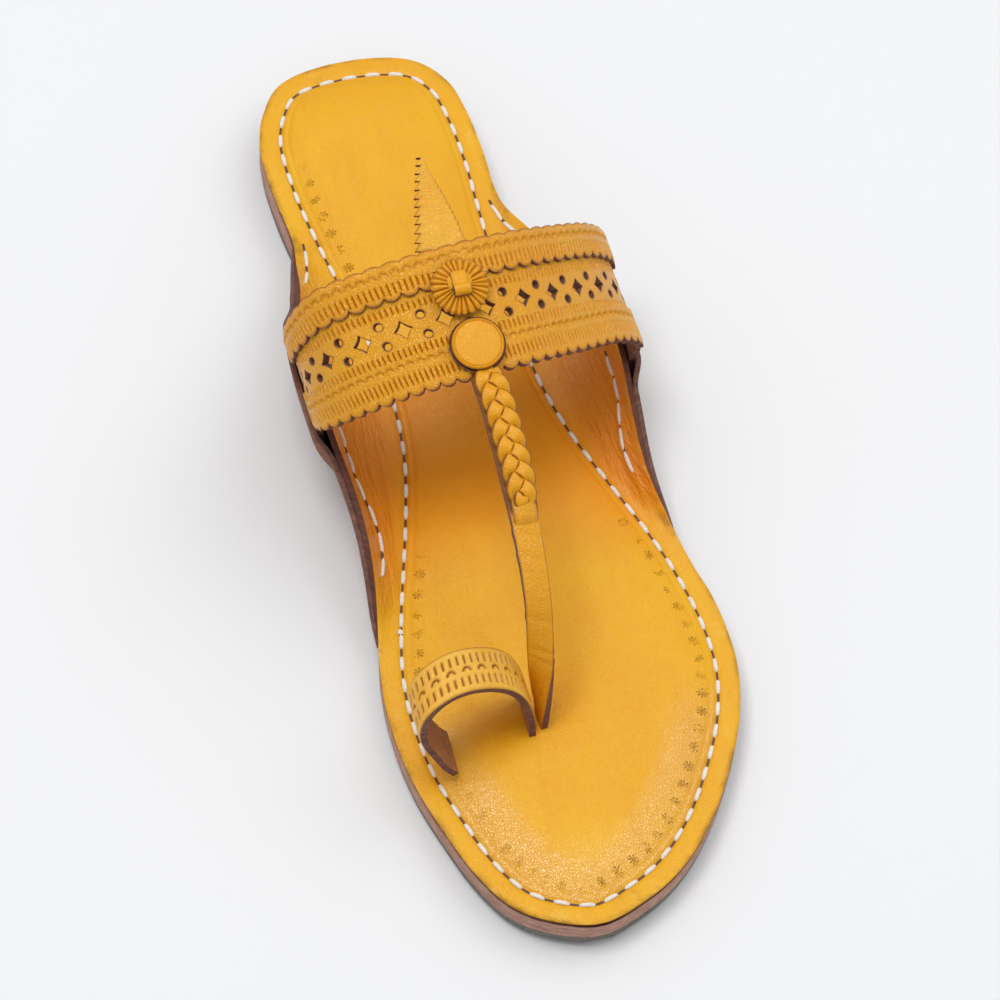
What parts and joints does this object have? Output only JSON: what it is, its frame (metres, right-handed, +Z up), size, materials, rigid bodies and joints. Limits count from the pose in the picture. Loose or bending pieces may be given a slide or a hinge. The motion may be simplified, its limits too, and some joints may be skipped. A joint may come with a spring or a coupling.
{
  "type": "kolhapuri sandal",
  "caption": "Flat toe-loop sandal for the left foot in yellow leather, with a wide instep band, a plaited toe strap, raised side wings, a rosette and a plain round button.",
  "frame": {"origin": "on the floor under the middle of the heel seat", "axes": "+Z up; the toe points along -Y; +X is the little-toe side"},
  "size_m": [0.0897, 0.2521, 0.0755],
  "materials": {
    "yellow_leather": "smooth vegetable-tanned leather dyed golden yellow, fine grain, soft sheen",
    "tan_leather": "cut edge of stacked sole leather, matte",
    "brown_leather": "brown leather, matte, slightly creased",
    "grey_sole": "grey-brown sole sheet, matte, fine grain"
  },
  "bodies": {
    "root": {"outsole": "grey_sole", "midsole": "tan_leather", "footbed": "yellow_leather", "ear_backing_medial": "brown_leather", "ear_backing_lateral": "brown_leather", "upper": "yellow_leather", "toe_loop": "yellow_leather", "flower": "yellow_leather", "button": "yellow_leather"}
  },
  "joints": []
}
